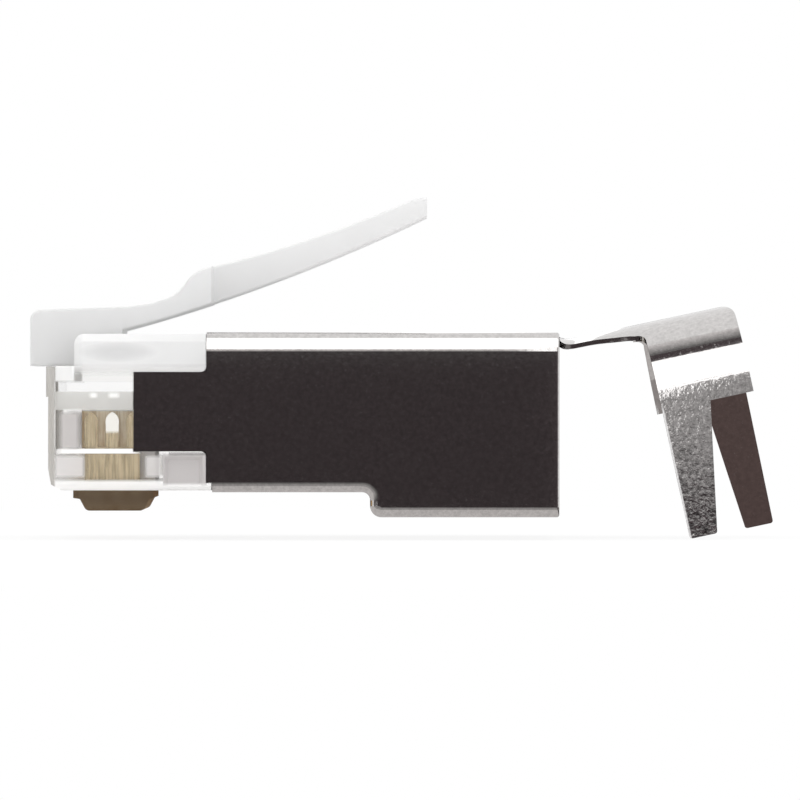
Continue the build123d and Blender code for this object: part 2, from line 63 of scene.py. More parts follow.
print("frame is %.2f x %.2f x %.2f mm" % tuple(size_mm))

# %% [markdown]
# ## Camera
# A connector is best read square from the side, where its steps, its contacts and its tail all
# show in outline.  A wide lens would splay the two side walls apart, so this one is long and a
# third of a metre away, and its height is a little above the middle of the plug.

# %% Camera
CAMERA_DISTANCE = 330 * MM
CAMERA_X = 14.667 * MM
CAMERA_Z = 0.571 * MM
VIEW_WIDTH = 33.934 * MM      # what the lens takes in at the middle plane of the plug
CLIP = (10 * MM, 10)

lens = bpy.data.cameras.new("side_view")
lens.lens = lens.sensor_width * CAMERA_DISTANCE / VIEW_WIDTH
lens.clip_start, lens.clip_end = CLIP
camera = bpy.data.objects.new("side_view", lens)
camera.location = (CAMERA_X, -CAMERA_DISTANCE, CAMERA_Z)
camera.rotation_euler = (math.pi / 2, 0, 0)
bpy.context.scene.collection.objects.link(camera)
bpy.context.scene.camera = camera
bpy.context.scene.view_settings.view_transform = "Standard"
print(f"lens {lens.lens:.0f} mm at {CAMERA_DISTANCE / MM:.0f} mm")

# %% [markdown]
# ## Node helpers
# Every finish here is a small node tree.  These helpers keep the trees short enough to read: one
# empties a tree, one adds a node with its settings and input values in a single call, and the
# last three do arithmetic, stretch one range of values over another and blend two colours.

# %% Node helpers
WHITE = (1, 1, 1, 1)


def empty_tree(owner, output_kind="OutputMaterial"):
    """Turns on an owner's nodes, clears them and returns the tree and its new output node."""
    owner.use_nodes = True
    owner.node_tree.nodes.clear()
    return owner.node_tree, owner.node_tree.nodes.new("ShaderNode" + output_kind)


def add(tree, kind, settings=None, **inputs):
    """Adds a node.  An input given as a socket is linked, and any other value is set on it; i0,
    i1 and so on are inputs by number."""
    node = tree.nodes.new("ShaderNode" + kind)
    for name, value in (settings or {}).items():
        setattr(node, name, value)
    for name, value in inputs.items():
        key = int(name[1:]) if name[1:].isdigit() else name.replace("_", " ")
        if isinstance(value, bpy.types.NodeSocket):
            tree.links.new(value, node.inputs[key])
        else:
            node.inputs[key].default_value = value
    return node


def maths(tree, operation, a, b=0.0):
    """One arithmetic step between two values or sockets; returns its output socket."""
    return add(tree, "Math", {"operation": operation}, i0=a, i1=b).outputs[0]


def ramp(tree, value, low, high, to_low=0.0, to_high=1.0):
    """Maps a value from the range low..high to to_low..to_high, and holds it at the ends."""
    return add(tree, "MapRange", {"clamp": True}, Value=value, From_Min=low, From_Max=high,
               To_Min=to_low, To_Max=to_high).outputs[0]


def mix(tree, share, first, second, blend="MIX"):
    """Blends two colours by a share from 0, the first, to 1; returns the output socket."""
    return add(tree, "MixRGB", {"blend_type": blend}, i0=share, i1=first, i2=second).outputs[0]


print("node helpers:", ", ".join(f.__name__ for f in (empty_tree, add, maths, ramp, mix)))

# %% [markdown]
# ## Table
# The plug stands on a pale table in a pale room.  Both must look white, in the plating and
# through the clear moulding too, without more light falling on the plug.  So they answer the rays
# that look at them with plain white, and keep their ordinary level for the rays that carry light.
# Near the plug the table keeps a share of its own shading, and so its shadow.

# %% Table
FLOOR_GAP = 0.05 * MM         # keeps the lowest point of the plug just clear of the table
FLOOR_Z = cad_box[0][2] - FLOOR_GAP
FLOOR_HALF = 3.0
PAPER = (0.86, 0.86, 0.86, 1)
TABLE_WHITE = 0.88            # share of plain white in the table's look beside the plug
SHADOW_REACH = (25 * MM, 90 * MM)           # its own shading fades out between these


def looked_at(tree):
    """1 for rays that look (from the camera, off a gloss or through a clear wall), else 0."""
    ray = add(tree, "LightPath").outputs
    either = maths(tree, "MAXIMUM", ray["Is Camera Ray"], ray["Is Glossy Ray"])
    return maths(tree, "MAXIMUM", either, ray["Is Transmission Ray"])


def stage_card(name, points, faces):
    """A mesh that belongs to the studio and not to the plug."""
    mesh = bpy.data.meshes.new(name)
    mesh.from_pydata(np.asarray(points, float).reshape(-1, 3).tolist(), [], faces)
    card = bpy.data.objects.new(name, mesh)
    bpy.context.scene.collection.objects.link(card)
    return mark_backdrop(card) or card


signs = np.array([(-1, -1), (1, -1), (1, 1), (-1, 1)])
corners = [(CAMERA_X + x * FLOOR_HALF, y * FLOOR_HALF, FLOOR_Z) for x, y in signs]
floor = stage_card("table", corners, [(0, 1, 2, 3)])
paper = bpy.data.materials.new("table_paper")
tree, output = empty_tree(paper)
lit = add(tree, "BsdfDiffuse", Color=PAPER)
white = add(tree, "Emission", Color=WHITE, Strength=1.0)
place = add(tree, "TexCoord").outputs["Object"]
away = add(tree, "VectorMath", {"operation": "DISTANCE"}, i0=place, i1=(CAMERA_X, 0, FLOOR_Z))
plain = ramp(tree, away.outputs["Value"], *SHADOW_REACH, TABLE_WHITE, 1.0)
share = maths(tree, "MULTIPLY", looked_at(tree), plain)
mixed = add(tree, "MixShader", i0=share, i1=lit.outputs[0], i2=white.outputs[0])
tree.links.new(mixed.outputs[0], output.inputs[0])
floor.data.materials.append(paper)
print(f"table top at {FLOOR_Z / MM:.2f} mm")

# %% [markdown]
# ## Room
# Most of the light on the plug comes from all round, as in a tent of white cloth.  Lamps on every
# side would do the same with more shadows to tame, so the world itself glows here.

# %% Room
ROOM_LIGHT = 0.97             # level of the light that comes from all round

room = bpy.data.worlds.new("room")
bpy.context.scene.world = room
tree, output = empty_tree(room, "OutputWorld")
air = add(tree, "Background", Color=WHITE, Strength=ROOM_LIGHT)
wall = add(tree, "Background", Color=WHITE, Strength=1.0)
mixed = add(tree, "MixShader", i0=looked_at(tree), i1=air.outputs[0], i2=wall.outputs[0])
tree.links.new(mixed.outputs[0], output.inputs[0])
print(f"light from all round at {ROOM_LIGHT}")

# %% [markdown]
# ## Cards that only gloss can see
# Nickel has no colour to speak of: a flat side shows whatever faces it, and a fold shows a strip
# of the whole room.  Studios place black cards and white boxes for that.  Each card here is an
# even glow that neither lights nor shades the plug, so it changes reflections and no more.

# %% Card helpers
BLACK = (1.0, 0.80, 0.85)     # warm black: the tint of a card whose strength is very low
NEUTRAL = (1, 1, 1)
WARM_GREY = (1, 0.97, 0.96)
STRIP_ROWS = 17
CARD_LIFT = 0.02 * MM         # how far a sheet lies over the table


def glow_card(card, colour, strength):
    """Gives a card an even glow that gloss alone can see."""
    sheet = bpy.data.materials.new(card.name)
    tree, output = empty_tree(sheet)
    glow = add(tree, "Emission", Color=(*colour, 1), Strength=strength)
    tree.links.new(glow.outputs[0], output.inputs[0])
    card.data.materials.append(sheet)
    card.visible_camera = False
    card.visible_diffuse = False
    card.visible_transmission = False
    card.visible_shadow = False


def tunnel_strip(name, radius, ends, low, high, colour, strength):
    """A strip of a cylinder about the plug's length: x runs between the ends, and the elevation
    e from low to high degrees puts its rows at (x, -R cos e, R sin e)."""
    e, x = np.meshgrid(np.radians(np.linspace(low, high, STRIP_ROWS)), ends, indexing="ij")
    rows = np.stack([x, -radius * np.cos(e), radius * np.sin(e)], -1)
    first = np.arange(len(e) - 1) * 2
    faces = np.stack([first, first + 1, first + 3, first + 2], -1).tolist()
    glow_card(stage_card(name, rows, faces), colour, strength)


def upright_card(name, ends, y, low, high, colour, strength):
    """A standing card at one y, between two x and two heights."""
    x0, x1 = ends
    points = [(x0, y, low), (x1, y, low), (x1, y, high), (x0, y, high)]
    glow_card(stage_card(name, points, [(0, 1, 2, 3)]), colour, strength)


def table_sheet(name, ends, sides, colour, strength):
    """A card that lies just over the table, between two x and two y."""
    (x0, x1), (y0, y1), z = ends, sides, FLOOR_Z + CARD_LIFT
    points = [(x0, y0, z), (x1, y0, z), (x1, y1, z), (x0, y1, z)]
    glow_card(stage_card(name, points, [(0, 1, 2, 3)]), colour, strength)


print("three kinds of card: strips of a tunnel, upright cards and sheets on the table")

# %% [markdown]
# ## The cards round the sleeve
# A black card stands close in front of the sleeve and another behind, so both flat sides go
# charcoal.  Above the front one, grey rims grow brighter in steps, which softens the edge between
# the dark side and the white band that the soft box puts along the fold.

# %% Cards round the sleeve
NEAR = 60 * MM                # distance of the near cards
SLEEVE_ENDS = (-0.02, 22.6 * MM)
RIM_ENDS = (SLEEVE_ENDS[0], 21.0 * MM)      # the high rims stop short, out of the tail's sight
LOW_RIM = 10 * MM
RIM_GREY = (1, 0.96, 0.95)
BLACK_TOP = 2.9 * MM
BLACK_STRENGTH = 0.045
RIMS = {"front": ((4.5, 0.09), (7, 0.15), (10, 0.25), (13, 0.42), (17, 0.68)),
        "back": ((3.5, 0.045), (4.0, 0.26))}         # top in mm and strength of each step

for side, y in (("front", -NEAR), ("back", NEAR)):
    upright_card(f"black_card_{side}", SLEEVE_ENDS, y, FLOOR_Z, BLACK_TOP, BLACK, BLACK_STRENGTH)
    foot = BLACK_TOP
    for step_top, strength in RIMS[side]:
        top = step_top * MM
        ends = SLEEVE_ENDS if top <= LOW_RIM else RIM_ENDS
        upright_card(f"grey_rim_{side}", ends, y, foot, top, RIM_GREY, strength)
        foot = top
print("rims in front and behind:", *(len(steps) for steps in RIMS.values()))

# %% [markdown]
# ## The soft box and its gap
# The soft box fills everything above the cards.  The barrel leans back and so looks past the end
# of the sleeve's part of it, where a narrow dark gap draws the line along the barrel's round, and
# grey strips lead from the gap up to the pale top.

# %% Soft box and gap
TUNNEL_ENDS = (-0.45, 0.55)
TUNNEL_RADIUS = 0.5
SOFT_BOX = 2.0                # strength, enough for plain white in the plating
SOFT_BOX_FOOT, SOFT_BOX_SPLIT, SOFT_BOX_TOP = -1, 66, 88     # elevations in degrees
GAP_END = -0.03               # the gap and its strips lie before this x
GAP_TOP = 76
GAP_STRENGTH = 0.08
FADE_STEPS, FADE_WIDTH = 6, 3               # strips above the gap and the degrees of each
FADE_FIRST, FADE_RISE = 0.18, 0.125         # strength of the lowest, and what each one adds
FADE_GREY = (1, 0.975, 0.97)

before, behind = (TUNNEL_ENDS[0], GAP_END), (GAP_END, TUNNEL_ENDS[1])
for name, ends, low, high, colour, strength in (
        ("soft_box", TUNNEL_ENDS, SOFT_BOX_FOOT, SOFT_BOX_SPLIT, NEUTRAL, SOFT_BOX),
        ("gap_card", before, SOFT_BOX_SPLIT, GAP_TOP, BLACK, GAP_STRENGTH),
        ("soft_box_top", behind, SOFT_BOX_SPLIT, SOFT_BOX_TOP, NEUTRAL, SOFT_BOX)):
    tunnel_strip(name, TUNNEL_RADIUS, ends, low, high, colour, strength)
for step in range(FADE_STEPS):
    low, strength = GAP_TOP + FADE_WIDTH * step, FADE_FIRST + FADE_RISE * step
    tunnel_strip("gap_fade", TUNNEL_RADIUS, before, low, low + FADE_WIDTH, FADE_GREY, strength)
print(f"dark gap from {SOFT_BOX_SPLIT} to {GAP_TOP} degrees")

# %% [markdown]
# ## The sheets under the sleeve
# The lower folds look down at the table.  Grey sheets lie there, darker the further out they are,
# and shade each fold from light below to dark at the side.

# %% Sheets under the sleeve
GREY_SHEETS = ((0, 8, 0.66), (8, 11, 0.40), (11, 16, 0.24), (16, 24, 0.12))  # y in mm, strength
GREY_HALF = GREY_SHEETS[-1][1] * MM
FAR_SHEET = 0.070             # strength of the sheets that run on from the grey ones

for side in (-1, 1):
    for inner, outer, strength in GREY_SHEETS:
        across = sorted((side * inner * MM, side * outer * MM))
        table_sheet("grey_sheet", SLEEVE_ENDS, across, WARM_GREY, strength)
    across = sorted((side * GREY_HALF, side * TUNNEL_RADIUS))
    ends = (TUNNEL_ENDS[0], SLEEVE_ENDS[1])
    table_sheet(f"dark_sheet_{side}", ends, across, BLACK, FAR_SHEET)
print("grey sheets reach", round(GREY_HALF / MM), "mm to each side")

# %% [markdown]
# ## The cards round the tail
# The near prong leans outwards and so looks a little upwards, into a grey card that is darker at
# its foot.  The far prong shows its inner face, which looks down at the table, so a brown sheet
# lies there, with a pale one before it for the barrel's far wall and a black one for the edge of
# the strap.  A leaning white box behind the tail lights the top of the strap.

# %% Cards round the tail
TAIL_ENDS = (SLEEVE_ENDS[1], 80 * MM)
TAIL_SPLIT, TAIL_TOP, TAIL_BACK_TOP = 6.5 * MM, 30 * MM, 10 * MM
TAIL_BLACK, TAIL_GREY = 0.10, 0.46          # strengths
TAIL_TINT = (1, 0.98, 0.98)
STRAP_BOX = ((18, 10), (24.4, 10), (14.9, 55), (8, 55))      # x and z of its corners, mm
STRAP_LIGHT = 1.7             # its strength
TAIL_SHEETS = (("strap_sheet", TAIL_ENDS[0], 25.6 * MM, BLACK, 0.06),
               ("wall_sheet", 25.6 * MM, 28.0 * MM, WARM_GREY, 0.65),
               ("brown_sheet", 28.0 * MM, TAIL_ENDS[1], (1, 0.71, 0.67), 0.115))
SHEET_SIDES = (-NEAR, 12 * MM)

upright_card("tail_card_dark", TAIL_ENDS, -NEAR, FLOOR_Z, TAIL_SPLIT, BLACK, TAIL_BLACK)
upright_card("tail_card_grey", TAIL_ENDS, -NEAR, TAIL_SPLIT, TAIL_TOP, TAIL_TINT, TAIL_GREY)
upright_card("tail_card_back", TAIL_ENDS, NEAR, FLOOR_Z, TAIL_BACK_TOP, BLACK, TAIL_BLACK)
corners = [(x * MM, NEAR, z * MM) for x, z in STRAP_BOX]
strap_box = stage_card("strap_box", corners, [(0, 1, 2, 3)])
glow_card(strap_box, NEUTRAL, STRAP_LIGHT)
for name, start, end, colour, strength in TAIL_SHEETS:
    table_sheet(name, (start, end), SHEET_SIDES, colour, strength)
print("sheets under the tail:", ", ".join(sheet[0] for sheet in TAIL_SHEETS))

# %% [markdown]
# ## Overhead lamp
# One broad lamp above and a little in front gives the table its soft shadow.  It is weak beside
# the light from all round, so that a colour comes out about as it is written.  The cards already
# give the plating its highlights, so gloss doesn't see the lamp.

# %% Overhead lamp
LAMP_SIZE = (0.5, 0.4)
LAMP_PLACE = (CAMERA_X, -0.1, 0.5)
LAMP_LEAN = -0.2              # radians about x
LAMP_POWER = 1.2

lamp = bpy.data.lights.new("overhead", "AREA")
lamp.shape = "RECTANGLE"
lamp.size, lamp.size_y = LAMP_SIZE
lamp.energy = LAMP_POWER
overhead = bpy.data.objects.new("overhead", lamp)
overhead.location = LAMP_PLACE
overhead.rotation_euler = (LAMP_LEAN, 0, 0)
overhead.visible_glossy = False
bpy.context.scene.collection.objects.link(overhead)
print(f"lamp of {LAMP_POWER} W")

# %% [markdown]
# ## Noise of a real size
# Moulded and plated surfaces carry fine detail of a known size.  Blender's noise is set by a
# scale, which says little by itself, so these helpers take their grain as a length on the part.

# %% Noise of a real size
DRAWN_OUT = 0.08              # how fast drawn lines vary upwards, as a share of how fast across


def mottle(tree, grain, detail=3.0, rough=0.5):
    """Noise that varies over about the given length on the part."""
    place = add(tree, "TexCoord").outputs["Object"]
    return add(tree, "TexNoise", Vector=place, Scale=1 / grain, Detail=detail,
               Roughness=rough).outputs[0]


def drawn_lines(tree, grain):
    """Noise of the given length that is drawn out upwards, as a cutter's lines are."""
    place = add(tree, "TexCoord").outputs["Object"]
    flat = add(tree, "VectorMath", {"operation": "MULTIPLY"}, i0=place, i1=(1, 1, DRAWN_OUT))
    return add(tree, "TexNoise", Vector=flat.outputs[0], Scale=1 / grain, Detail=2.0).outputs[0]


print("1 mm on the part is", 1 * MM, "in the file")

# %% [markdown]
# ## Masks
# A finish often belongs to one region of a solid.  The region could be a material of its own on
# faces of its own, but then its edge is hard and the solid has to be cut up for it.  Here a soft
# window is 1 between two bounds and falls to 0 over a short edge, and the product of windows in
# x, y and z keeps a finish to its place.

# %% Masks
def window(tree, value, low, high, edge=0.02 * MM):
    """1 where the value lies between low and high, easing to 0 over the edge outside them."""
    rise = ramp(tree, value, low - edge, low)
    fall = ramp(tree, value, high, high + edge, 1.0, 0.0)
    return maths(tree, "MULTIPLY", rise, fall)


def both(tree, *masks):
    """The overlap of several masks: their product."""
    whole = masks[0]
    for mask in masks[1:]:
        whole = maths(tree, "MULTIPLY", whole, mask)
    return whole


def coordinates(tree):
    """x, the distance from the middle plane, and z of the point that is shaded, as sockets."""
    x, y, z = add(tree, "SeparateXYZ", Vector=add(tree, "TexCoord").outputs["Object"]).outputs
    return x, maths(tree, "ABSOLUTE", y), z


def sideways(tree):
    """The y part of a face's normal: 1 or -1 on a side wall, and 0 on a top or an end."""
    normal = add(tree, "NewGeometry").outputs["True Normal"]
    return add(tree, "SeparateXYZ", Vector=normal).outputs[1]


def thin_edges(tree):
    """1 on faces that look along the plug or up and down, and 0 on the side walls."""
    return ramp(tree, maths(tree, "ABSOLUTE", sideways(tree)), 0.6, 0.5)


print("masks:", ", ".join(f.__name__ for f in (window, both, coordinates, sideways, thin_edges)))

# %% [markdown]
# ## Milky latch
# The latch is moulded from the same resin, but it is textured all over so that a fingernail
# grips it.  Light scatters in the skin, and the whole lever reads as a soft, even grey.  Its
# colour is painted lighter towards the tip, a painted glow where the lever gets thin.  A
# subsurface node could do the scattering, but on a strip this thin a translucent share gives the
# same glow with less to set.

# %% Milky latch
MILK_ENDS = (-1 * MM, 8 * MM)
# the resin's grey at the block on the nose, then lighter from the lever on, a painted glow
MILK_AND_GLOW_LEVELS = (0.895, 0.92)   # at the block on the nose and from the lever on
MILK_CLOUD = 0.985            # the darkest that its faint clouds get
MILK_PASSES = 0.45            # share that scatters through rather than back


def milky_moulding():
    """Cloudy plastic: it scatters light and passes nearly half of it, with a painted glow towards
    the tip.
    """
    resin = bpy.data.materials.new("milky_moulding")
    tree, output = empty_tree(resin)
    x, _, _ = coordinates(tree)
    # painted glow: the colour grows lighter from the nose to the thin lever
    thin = ramp(tree, x, *MILK_ENDS, *MILK_AND_GLOW_LEVELS)
    cloud = ramp(tree, mottle(tree, 1.4 * MM), 0.3, 0.7, MILK_CLOUD, 1.0)
    level = maths(tree, "MULTIPLY", thin, cloud)
    tint = add(tree, "CombineColor", i0=level, i1=level, i2=level).outputs[0]
    skin = add(tree, "BsdfPrincipled", Base_Color=tint, Roughness=0.6, Specular_IOR_Level=0.1)
    through = add(tree, "BsdfTranslucent", Color=tint)
    whole = add(tree, "MixShader", i0=MILK_PASSES, i1=skin.outputs[0], i2=through.outputs[0])
    tree.links.new(whole.outputs[0], output.inputs[0])
    return resin


print(f"milky resin passes {MILK_PASSES:.0%} of the light")

# %% [markdown]
# ## Frosted walls inside the clear moulding
# The body is polished polycarbonate, so it is nearly plain glass.  A mould is polished outside
# and left as cut inside, so the comb's walls and the grooves are frosted, and many of them in a
# row read as one light grey.  The walls behind the tines carry a painted reflection of the tines'
# bronze, in streaks.

# %% Frosted walls inside
COMB_HALF = 3.45 * MM         # the frosted comb walls lie within this of the middle plane
GROOVE_HALF = 4.10 * MM       # and the conductor grooves within this
COMB_ENDS = (0.25 * MM, 6.5 * MM)
COMB_HEIGHTS = (-3.1 * MM, 0.15 * MM)
GROOVE_HEIGHTS = (0.12 * MM, 0.88 * MM)
TINE_ENDS, TINE_HEIGHTS = (1.30 * MM, 3.95 * MM), (-1.45 * MM, 0.12 * MM)
COMB_TINT, GROOVE_TINT = (0.98, 0.965, 0.955, 1), (0.98, 0.975, 0.955, 1)
# painted reflection of the bronze tines on the walls behind them, in dark and pale streaks
TINE_REFLECTION_PAINT = ((0.74, 0.60, 0.41, 1), (1.0, 0.91, 0.75, 1))         # dark and pale streaks


def frosted(tree, colour, rough, through):
    """A frosted wall that lets a share of the light through."""
    return add(tree, "BsdfPrincipled", Base_Color=colour, Roughness=rough, IOR=1.3,
               Transmission_Weight=through).outputs[0]


def inner_walls(tree, x, off_middle, z):
    """The regions inside, each as its mask, colour, roughness and share let through."""
    end_wall = thin_edges(tree)
    length = window(tree, x, *COMB_ENDS)
    near_comb = window(tree, off_middle, 0, COMB_HALF)
    near_grooves = window(tree, off_middle, 0, GROOVE_HALF)
    in_comb = window(tree, z, *COMB_HEIGHTS)
    comb = both(tree, length, near_comb, in_comb)
    slot_ends = both(tree, length, near_grooves, end_wall, in_comb)
    behind_tines = both(tree, comb, window(tree, x, *TINE_ENDS), window(tree, z, *TINE_HEIGHTS))
    grooves = both(tree, length, near_grooves, window(tree, z, *GROOVE_HEIGHTS))
    streaks = ramp(tree, drawn_lines(tree, 0.09 * MM), 0.35, 0.65)
    # the walls behind the tines take the painted bronze reflection, streaked
    return [(comb, COMB_TINT, 0.5, 0.1), (slot_ends, COMB_TINT, 0.5, 0.3),
            (behind_tines, mix(tree, streaks, *TINE_REFLECTION_PAINT), 0.5, 0.0), (grooves, GROOVE_TINT, 0.5, 0.35)]


print(f"comb walls are frosted within {COMB_HALF / MM:.2f} mm of the middle plane")

# %% [markdown]
# ## Soft patches outside the clear moulding
# The side panels are frosted by the mould and carry painted shade, a mid grey.  The plain outer
# wall beside them shows what the thick resin bends into view: a bright ledge across the comb, grey
# walls in front of the blades and two lit spots over the tines.  These are painted light and
# shade, laid on the wall as soft patches, which is simpler than making each bent image out of true
# shapes.

# %% Soft patches outside
OUTER_WALL = 5.5 * MM         # the outer side walls begin this far from the middle plane
# Each patch of painted light or shade gives its spans along x and its heights as from, to and
# soft edge in millimetres, then its strength, colour, roughness and the share let through.
PAINTED_PATCHES = {
    "ledges": (((0.60, 3.60, 0.35),), (-1.64, -1.48, 0.04), 1, (1.0, 0.99, 0.975, 1), 0.4, 0.0),
    "fronts": (((0.65, 1.15, 0.25),), (-1.35, -0.05, 0.20), 1, (0.60, 0.57, 0.56, 1), 0.45, 0.2),
    "brows": (((0.34, 1.06, 0.06),), (1.40, 2.0, 0.10), 0.8, (0.95, 0.95, 0.94, 1), 0.45, 0.0),
    "low_fronts": (((0.40, 1.40, 0.20), (4.15, 4.64, 0.16)), (-2.55, -1.85, 0.16), 0.6,
                   (0.84, 0.81, 0.80, 1), 0.45, 0.0),
    "bands": (((0.30, 3.80, 0.02),), (0.18, 0.90, 0.05), 0.45, (0.82, 0.81, 0.78, 1), 0.45, 0.0),
    "lit_tips": (((1.84, 1.94, 0.16), (2.62, 2.86, 0.16)), (0.74, 0.80, 0.12), 0.85,
                 (1.0, 1.0, 0.98, 1), 0.45, 0.0),
    "panels": (((4.80, 6.60, 0.02),), (-2.86, -1.78, 0.16), 1, (0.525, 0.50, 0.495, 1), 0.5, 0.0),
}


# each patch is painted light or shade: a bent image laid on the outer wall as a colour
def patch(tree, name, x, off_middle, z):
    """One soft patch on the outer side walls, as its mask and the rest of its row."""
    spans, heights, strength, *look = PAINTED_PATCHES[name]
    column = window(tree, x, *(length * MM for length in spans[0]))
    for span in spans[1:]:
        other = window(tree, x, *(length * MM for length in span))
        column = maths(tree, "MAXIMUM", column, other)
    outside = ramp(tree, off_middle, OUTER_WALL, OUTER_WALL + 0.1 * MM)
    row = window(tree, z, *(length * MM for length in heights))
    return both(tree, outside, column, row, strength), *look


print("soft patches:", ", ".join(PAINTED_PATCHES))

# %% [markdown]
# ## Shoulders, corners and lower edges
# The shoulders come frosted out of the mould, and the lower edges are frosted and painted near
# white, a painted highlight.  The thick resin under each shoulder shrinks as it cools, which
# leaves a shallow sink.  A dent that shallow is seen only as a soft grey oval, so a grey oval of
# painted shade is all that is made, and the front corners carry painted shade of dark grey.

# %% Shoulders, corners and lower edges
SHOULDER_HALF = 3.20 * MM     # the shoulders begin this far from the middle plane
SHOULDER_ENDS = (1.0 * MM, 6.6 * MM)
SHOULDER_FOOT = (1.55 * MM, 2.10 * MM)      # this and the pairs below fade in, first to second
SINK_HALF = (4.6 * MM, 4.8 * MM)
LOW_EDGE_TOP, LOW_EDGE_HALF = (-2.72 * MM, -2.86 * MM), (5.3 * MM, 5.45 * MM)
CORNER_END, CORNER_TOP = (0.32 * MM, 0.24 * MM), (2.0 * MM, 1.9 * MM)
CORNER_HALF = (5.2 * MM, 5.3 * MM)
SINK = ((2.92, 1.45), (2.57, 0.36))         # middle and half size along x, then up, mm


# painted shade: the sink is only a grey oval painted into each shoulder
def painted_sink_shade(tree, x, off_middle, z):
    """Mask of a shallow oval in each shoulder: d = ((x - mx) / hx)^2 + ((z - mz) / hz)^2 from its
    middle m and half size h, 1 at the middle and 0 past the edge."""
    squares = []
    for value, (middle, half) in zip((x, z), SINK):
        share = maths(tree, "DIVIDE", maths(tree, "SUBTRACT", value, middle * MM), half * MM)
        squares.append(maths(tree, "POWER", share, 2.0))
    oval = ramp(tree, maths(tree, "ADD", *squares), 1.4, 0.1)
    return both(tree, oval, ramp(tree, off_middle, *SINK_HALF))


def outer_walls(tree, *place):
    """The regions outside, each as its mask, colour, roughness and share let through."""
    x, off_middle, z = place
    shoulders = both(tree, window(tree, x, *SHOULDER_ENDS), ramp(tree, z, *SHOULDER_FOOT),
                     ramp(tree, off_middle, SHOULDER_HALF, SHOULDER_HALF + 0.05 * MM))
    low_edges = both(tree, ramp(tree, z, *LOW_EDGE_TOP), ramp(tree, off_middle, *LOW_EDGE_HALF))
    corners = both(tree, ramp(tree, x, *CORNER_END), ramp(tree, z, *CORNER_TOP),
                   ramp(tree, off_middle, *CORNER_HALF))
    # painted: the sink oval and the front corners are painted shade, and the lower edges' near
    # white is a painted highlight
    walls = [(shoulders, WHITE, 0.4, 0.40),
             (painted_sink_shade(tree, *place), (0.66, 0.66, 0.66, 1), 0.4, 0.0)]
    walls += [patch(tree, name, *place) for name in PAINTED_PATCHES if name != "panels"]
    return walls + [(low_edges, (1.0, 0.99, 0.98, 1), 0.45, 0.1), patch(tree, "panels", *place),
                    (corners, (0.54, 0.52, 0.49, 1), 0.4, 0.3)]


print("sinks are", *(2 * half for _, half in SINK), "mm along and up")

# %% [markdown]
# ## Clear moulding
# Each region is mixed over the polished resin in turn, so a later one lies on top.  The stub of
# the latch on the moulding's own root is left out here, because the latch's skin covers it, and a
# weak absorption gives the thick parts the faint grey of real polycarbonate.

# %% Clear moulding
LATCH_HALF = 3.05 * MM        # the root of the latch lies within this of the middle plane
ROOT_FOOT = (1.975 * MM, 1.985 * MM)
ROOT_END = (3.9 * MM, 3.8 * MM)


def clear_moulding():
    """Polished plastic with frosted regions, each kept to its place by a mask."""
    resin = bpy.data.materials.new("clear_moulding")
    tree, output = empty_tree(resin)
    x, off_middle, z = place = coordinates(tree)
    body = add(tree, "BsdfPrincipled", Base_Color=WHITE, Roughness=0.04, IOR=1.45,
               Transmission_Weight=1.0).outputs[0]
    for mask, *look in inner_walls(tree, *place) + outer_walls(tree, *place):
        body = add(tree, "MixShader", i0=mask, i1=body, i2=frosted(tree, *look)).outputs[0]
    root = both(tree, ramp(tree, z, *ROOT_FOOT), ramp(tree, x, *ROOT_END),
                ramp(tree, off_middle, LATCH_HALF + 0.05 * MM, LATCH_HALF))
    gone = add(tree, "BsdfTransparent", Color=WHITE).outputs[0]
    whole = add(tree, "MixShader", i0=root, i1=body, i2=gone)
    tree.links.new(whole.outputs[0], output.inputs[0])
    haze = add(tree, "VolumeAbsorption", Color=(0.90, 0.89, 0.87, 1), Density=60.0)
    tree.links.new(haze.outputs[0], output.inputs["Volume"])
    return resin


print(f"the skin takes over the latch's root from z = {ROOT_FOOT[0] / MM:.3f} mm up")

# %% [markdown]
# ## Relief of the plated sheet
# The sheet is stamped, folded and then plated.  Bright nickel over a rolled sheet keeps a fine
# orange peel and a finer grain on top of it.  Where the barrel and the prongs were drawn to shape
# the peel is stronger on the outside.  Relief this fine is far below any mesh, so it is a bump.

# %% Relief of the plated sheet
PEEL = (0.22 * MM, 0.04, 0.55)              # grain, then its height on the sleeve and when drawn
GRAIN = (0.08 * MM, 0.015, 0.12)
BUMP_HEIGHT = 0.020 * MM
DRAWN_ENDS = (21.5 * MM, 24.5 * MM)         # the drawn finish fades in along these
DRAWN_TOP = (1.05 * MM, 0.75 * MM)          # and from these down, square to the barrel's axis
PRONG_LEAN = 0.2136           # how far the prong moves back for each unit down
PRONG_FRONT = 25.65 * MM      # where its front edge would meet the height 0


def drawn_parts(tree, x, z):
    """Mask of the drawn outside: behind the sleeve, below a line along the barrel, and only where
    the normal points away from the middle plane."""
    y = add(tree, "SeparateXYZ", Vector=add(tree, "TexCoord").outputs["Object"]).outputs[1]
    away = maths(tree, "MULTIPLY", maths(tree, "SIGN", y), sideways(tree))
    rise = maths(tree, "MULTIPLY", maths(tree, "SUBTRACT", x, PRONG_FRONT), PRONG_LEAN)
    low = ramp(tree, maths(tree, "SUBTRACT", z, rise), *DRAWN_TOP)
    return both(tree, ramp(tree, x, *DRAWN_ENDS), low, ramp(tree, away, -0.05, 0.05))


def plated_bump(tree, drawn):
    """Peel and grain, each higher on the drawn parts, as a normal."""
    heights = []
    for grain, plain, strong in (PEEL, GRAIN):
        height = ramp(tree, drawn, 0, 1, plain, strong)
        heights.append(maths(tree, "MULTIPLY", mottle(tree, grain, 2.0, 0.6), height))
    return add(tree, "Bump", Strength=1.0, Distance=BUMP_HEIGHT,
               Height=maths(tree, "ADD", *heights)).outputs[0]


print(f"peel of {PEEL[0] / MM:.2f} mm and grain of {GRAIN[0] / MM:.2f} mm")
